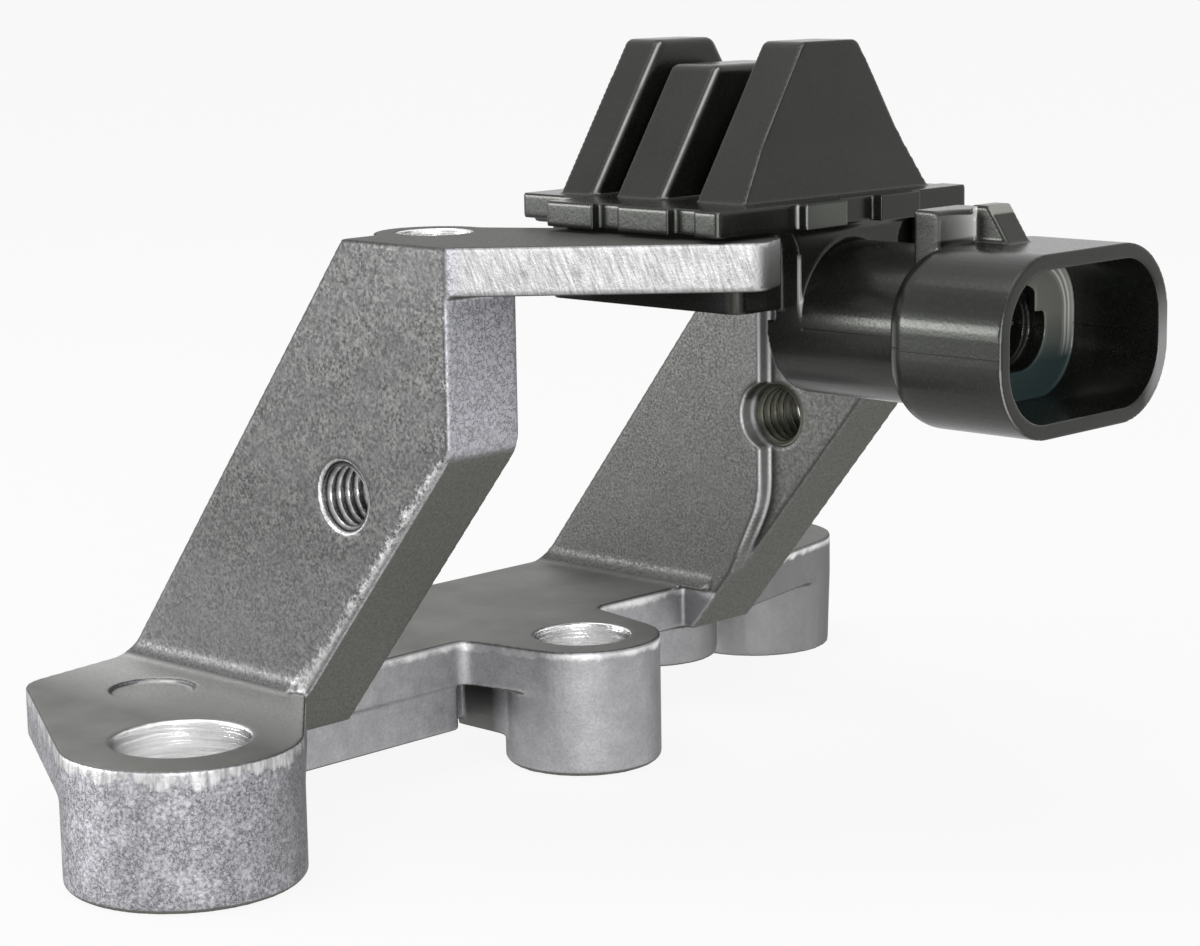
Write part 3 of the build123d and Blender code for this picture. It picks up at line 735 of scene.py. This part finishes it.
def lit_tooth_mask(s):
    """1 on the faces of the flange's tooth above the web, which catch the light and are painted paler."""
    return s.both(
        s.band(s.x, lit_tooth_from_x, lit_tooth_from_x + 4 * MM, 0.1 * MM),
        s.band(s.y, lit_tooth[0], lit_tooth[1], 0.1 * MM),
        s.band(s.z, flange[0], flange[1] - 0.2 * MM, 0.1 * MM),
        s.spread(s.nx, 0.3, 0.5),
    )


def tooth_end_highlights(s):
    """1 near both ends of the lit tooth, where highlight lines are painted."""
    low, high = lit_tooth
    return s.either(
        s.spread(s.y, low + 0.5 * MM, low + 0.3 * MM),
        s.spread(s.y, high - 0.5 * MM, high - 0.3 * MM),
    )


def scratch(s, start, end, width):
    """1 along a short straight line on the web, between two places given as y and z; it draws a scratch and
    the painted highlight along the web's edge.
    """
    run = Vector(end) - Vector(start)
    length = run.length
    run.normalize()
    dy = s.minus(s.y, start[0])
    dz = s.minus(s.z, start[1])
    along = s.plus(s.times(dy, run[0]), s.times(dz, run[1]))
    aside = s.size(s.minus(s.times(dy, run[1]), s.times(dz, run[0])))
    return s.both(
        s.spread(aside, width, width / 2),
        s.band(along, 0.3 * MM, length - 0.3 * MM, 0.6 * MM),
        s.band(s.x, web_face_x - 0.15 * MM, web_face_x + 0.15 * MM, 0.1 * MM),
    )


def mouth_floor_mask(s):
    """1 on the floor of the connector's mouth."""
    floor = connector_axis[0] - mouth_depth
    return s.both(s.band(s.x, floor - 0.1 * MM, floor + 0.3 * MM, 0.1 * MM), s.spread(s.nx, 0.3, 0.6))


def mouth_inset(s):
    """How far inwards from the mouth's oval wall a point is."""
    past = []
    for place, middle, half in zip((s.y, s.z), connector_axis[1:], mouth_half):
        away = s.size(s.minus(place, middle))
        past.append(s.maths("MAXIMUM", s.minus(away, half - mouth_corner), 0.0))
    return s.minus(mouth_corner, s.hypot(*past))


def mouth_floor_light(s):
    """Painted light on the mouth's floor: a pale crescent with painted highlight rings, fading to painted
    shade downwards.
    """
    inset = mouth_inset(s)
    lines = s.either(*(s.band(inset, low, high, 0.1 * MM) for low, high in mouth_highlight_lines))
    height = s.spread(s.z, connector_axis[2] - 3 * MM, connector_axis[2] + 1 * MM)
    tone = s.blend(height, (0.04, 0.065, 0.065), grey(0.22, -0.1))
    tone = s.blend(s.both(s.spread(inset, 1.6 * MM, 1.2 * MM), height), tone, grey(0.36, -0.1))
    return s.blend(s.both(lines, height), tone, grey(0.8))


def rim_edge_mask(s):
    """1 on the rounded edges of the connector's rim, where they catch the light."""
    axis_x, axis_y, axis_z = connector_axis
    near = s.both(s.spread(s.y, axis_y, axis_y - 4 * MM), s.band(s.nx, 0.4, 0.85, 0.1))
    far = s.both(s.spread(s.y, axis_y + 8 * MM, axis_y + 10 * MM), s.spread(s.nx, 0.4, 0.6))
    return s.both(
        s.either(near, far),
        s.spread(s.x, axis_x - 0.8 * MM, axis_x - 0.6 * MM),
        s.spread(s.z, axis_z + 3.5 * MM, axis_z - 1 * MM),
        s.spread(s.z, axis_z - 6.5 * MM, axis_z - 4 * MM),
    )


def cove_mask(s):
    """1 where the cove beside the latch catches the light, fading away from the latch."""
    return s.both(
        s.spread(s.x, block_middle_x, block_middle_x + block_half),
        s.spread(s.x, latch_start_x + 0.1 * MM, latch_start_x),
        s.spread(s.z, cove_bottom, cove_bottom + 0.5 * MM),
        s.spread(s.nz, 0.6, 0.4),
    )


def seam_mask(s):
    """1 on the thin line that the mould left along the neck and the shroud."""
    seam_z = connector_axis[2] - seam_below_axis
    return s.both(
        s.band(s.z, seam_z - 0.06 * MM, seam_z + 0.06 * MM, 0.06 * MM),
        s.spread(s.x, neck_from_x, neck_from_x + 0.2 * MM),
        s.spread(s.size(s.ny), 0.5, 0.7),
    )


def black_plastic(name="black_plastic", tone=0.006):
    """The moulded plastic, with its marks, the mould's seam, painted highlights on its edges, vanes, tooth,
    web, rim and cove, and painted light on its mouth's floor.
    """
    s = Shader(name)
    grain = s.noise(3600, 3, 0.6)
    patches = s.noise(160, 3)
    wear_and_sheen = s.noise(500, 3)
    edges = edge_mask(s, wear_and_sheen)
    tooth = lit_tooth_mask(s)
    cove = cove_mask(s)
    skin = s.blend(s.spread(patches, 0.35, 0.7), olive(tone), olive(tone * 2.0))
    skin = s.blend(s.spread(grain, 0.45, 0.7, 0, 0.7), skin, olive(tone * 3.2))
    # Painted highlights on the small rounded upright edges.
    skin = s.blend(edges, skin, olive(0.16))
    # Painted highlights along the vanes' rounded edges.
    skin = s.blend(vane_edge_highlight_mask(s, wear_and_sheen), skin, grey(0.5))
    # The lit tooth is painted paler, with painted highlight lines at its ends.
    skin = s.blend(tooth, skin, olive(0.09))
    skin = s.blend(s.both(tooth, tooth_end_highlights(s)), skin, grey(0.5))
    # A painted highlight along the web's edge.
    skin = s.blend(s.times(scratch(s, *web_highlight, web_highlight_width), 0.8), skin, grey(0.5))
    skin = s.blend(scratch(s, *web_scratch, web_scratch_width), skin, grey(0.7))
    # Painted light on the floor of the connector's mouth.
    skin = s.blend(mouth_floor_mask(s), skin, mouth_floor_light(s))
    skin = s.blend(rim_edge_mask(s), skin, grey(0.3))
    skin = s.blend(s.times(cove, cove), skin, grey(0.62, -0.03))
    s.wire(skin, s.skin, "Base Color")

    s.skin.inputs["IOR"].default_value = 1.42
    s.skin.inputs["Specular Tint"].default_value = (0.97, 1.0, 0.93, 1)
    rough = s.spread(grain, *wide_span, 0.28, 0.2)
    s.wire(s.mixed(edges, rough, 0.22), s.skin, "Roughness")
    relief = s.bump(grain, 0.25, 0.03 * MM)
    s.wire(s.bump(seam_mask(s), 0.8, 0.08 * MM, relief), s.skin, "Normal")
    return s.material


def plain(name, dark, pale, rough, metal=0.0, scale=900, height=0.02):
    """A small piece's finish: two close colours in a fine noise, with a little relief."""
    s = Shader(name)
    grain = s.noise(scale, 3)
    s.wire(s.blend(s.spread(grain, *wide_span), dark, pale), s.skin, "Base Color")
    s.skin.inputs["Metallic"].default_value = metal
    s.wire(s.spread(grain, *wide_span, rough, rough * 0.8), s.skin, "Roughness")
    s.wire(s.bump(grain, 0.3, height * MM), s.skin, "Normal")
    return s.material


# Pieces


def evaluated(piece):
    """Puts the result of a piece's modifiers in its mesh."""
    graph = bpy.context.evaluated_depsgraph_get()
    mesh = bpy.data.meshes.new_from_object(piece.evaluated_get(graph))
    piece.modifiers.clear()
    old = piece.data
    piece.data = mesh
    bpy.data.meshes.remove(old)


def copy_of(node, name):
    """A separate copy of a node's mesh, which may then be changed."""
    piece = bpy.data.objects.new(name, frame["nodes"][node].data.copy())
    piece.data.materials.clear()
    bpy.context.scene.collection.objects.link(piece)
    return piece


def rod(name, at, axis, radius, length):
    """A round bar, centred at a point."""
    bars = bmesh.new()
    bmesh.ops.create_cone(bars, cap_ends=True, segments=cutter_sides,
                          radius1=radius, radius2=radius, depth=length)
    mesh = bpy.data.meshes.new(name)
    bars.to_mesh(mesh)
    bars.free()
    bar = bpy.data.objects.new(name, mesh)
    bar.location = at
    bar.rotation_euler = Vector(axis).to_track_quat("Z", "Y").to_euler()
    bpy.context.scene.collection.objects.link(bar)
    return bar


def cut(piece, tool):
    """Takes a tool's shape out of a piece."""
    knife = piece.modifiers.new("cut", "BOOLEAN")
    knife.operation = "DIFFERENCE"
    knife.solver = "EXACT"
    knife.object = tool
    evaluated(piece)
    bpy.data.objects.remove(tool)


def soften(piece, voxel, passes, triangles):
    """Rounds every edge a little, as casting and moulding do."""
    net = piece.modifiers.new("net", "REMESH")
    net.mode = "VOXEL"
    net.voxel_size = voxel
    net.use_smooth_shade = True
    smooth = piece.modifiers.new("smooth", "SMOOTH")
    smooth.factor = smooth_share
    smooth.iterations = passes
    evaluated(piece)
    count = 2 * len(piece.data.polygons)
    if count > triangles:
        thin = piece.modifiers.new("thin", "DECIMATE")
        thin.ratio = triangles / count
        evaluated(piece)
    weigh = piece.modifiers.new("weigh", "WEIGHTED_NORMAL")
    weigh.weight = normal_weight
    evaluated(piece)


def thread_radii(z):
    """How far each side of the wavy tube is from its axis, at one height."""
    radii = []
    for j in range(thread_sides):
        phase = (z / thread_pitch - j / thread_sides) % 1.0
        depth = min(1.0, abs(2 * phase - 1) * flank_steepness)
        radii.append(thread_crest + (thread_root - thread_crest) * depth)
    return radii


def ring(made, z, radii):
    """A row of points round the Z axis."""
    row = []
    for j, r in enumerate(radii):
        angle = 2 * math.pi * j / len(radii)
        row.append(made.verts.new((r * math.cos(angle), r * math.sin(angle), z)))
    return row


def thread(name, mount, groove_shade, low, high, rough):
    """Inner thread of a side hole, as a wavy tube whose crest climbs one pitch a turn."""
    length = mount["dims"]["length_mm"] * MM + tube_longer
    steps = round(length / thread_pitch * thread_steps)
    wall = [thread_root + thread_wall] * thread_sides
    made = bmesh.new()
    heights = [(i / steps - 0.5) * length for i in range(steps + 1)]
    rows = [ring(made, z, thread_radii(z)) for z in heights]
    outer = [ring(made, z, wall) for z in (-length / 2, length / 2)]
    shells = [*rows, outer[1], outer[0], rows[0]]
    for row, after in zip(shells, shells[1:]):
        for j in range(thread_sides):
            k = (j + 1) % thread_sides
            made.faces.new((row[k], row[j], after[j], after[k]))
    bmesh.ops.recalc_face_normals(made, faces=made.faces)
    turn = Vector(mount["axis"]).to_track_quat("Z", "Y").to_matrix().to_4x4()
    bmesh.ops.transform(made, matrix=Matrix.Translation(mount["pos_m"]) @ turn, verts=made.verts)
    mesh = bpy.data.meshes.new(name)
    made.to_mesh(mesh)
    made.free()
    for face in mesh.polygons:
        face.use_smooth = True
    mesh.materials.append(thread_metal(name + "_metal", mount, groove_shade, low, high, rough))
    piece = bpy.data.objects.new(name, mesh)
    bpy.context.scene.collection.objects.link(piece)
    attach(piece, "root")


def dress(node, material):
    """Gives a node its material. Its shape stays as it is."""
    mesh = frame["nodes"][node].data
    mesh.materials.clear()
    mesh.materials.append(material)


def bracket():
    """The casting with rounded edges, its side holes widened for the threads."""
    piece = copy_of("bracket", "cast_bracket")
    for name in ("near_side_thread", "far_side_thread"):
        mount = mounts[name]
        length = mount["dims"]["length_mm"] * MM + cutter_longer
        cut(piece, rod("bore", mount["pos_m"], mount["axis"], thread_bore, length))
    soften(piece, cast_voxel, cast_passes, cast_triangles)
    piece.data.materials.append(cast_aluminium())
    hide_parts("bracket")
    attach(piece, "root")


def housing():
    """The sensor's moulding with rounded edges."""
    piece = copy_of("sensor_housing", "moulded_housing")
    soften(piece, moulded_voxel, moulded_passes, moulded_triangles)
    piece.data.materials.append(black_plastic())
    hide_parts("sensor_housing")
    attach(piece, "root")


bracket()
housing()
thread("near_thread", mounts["near_side_thread"], grey(0.03), grey(0.35), grey(0.7), 0.3)
# The far thread is the same cut metal as the near one in darker greys: painted shade.
thread("shaded_far_thread", mounts["far_side_thread"], grey(0.06, -0.2), grey(0.1, -0.2), grey(0.13, -0.2), 0.5)

dress("bottom_cover", black_plastic("cover_plastic", 0.012))
dress("potting", plain("potting_resin", (0.02, 0.02, 0.025), (0.04, 0.04, 0.045), 0.25))
dress("circuit_board", plain("board_lacquer", (0.01, 0.10, 0.04), (0.02, 0.16, 0.07), 0.4))
carrier = plain("carrier_plastic", (0.45, 0.40, 0.30), (0.55, 0.50, 0.38), 0.5)
chip = plain("chip_resin", (0.02, 0.02, 0.02), (0.04, 0.04, 0.04), 0.5)
ceramic = plain("ceramic", (0.36, 0.27, 0.16), (0.45, 0.35, 0.22), 0.45)
steel = plain("steel", (0.42, 0.42, 0.43), (0.55, 0.55, 0.56), 0.32, 1.0)
nickel = plain("nickel", (0.55, 0.54, 0.52), (0.66, 0.65, 0.62), 0.22, 1.0)
tin = plain("tin", (0.62, 0.60, 0.55), (0.75, 0.73, 0.68), 0.3, 1.0, scale=1800)
for side in ("rear", "front"):
    dress("hall_carrier_" + side, carrier)
    dress("hall_cell_" + side, chip)
    dress("concentrator_" + side, steel)
    dress("pole_plate_" + side, steel)

dress("magnet", nickel)
dress("capacitor_a", ceramic)
dress("capacitor_b", ceramic)
dress("resistor", chip)
for letter in "abcd":
    dress("terminal_" + letter, tin)
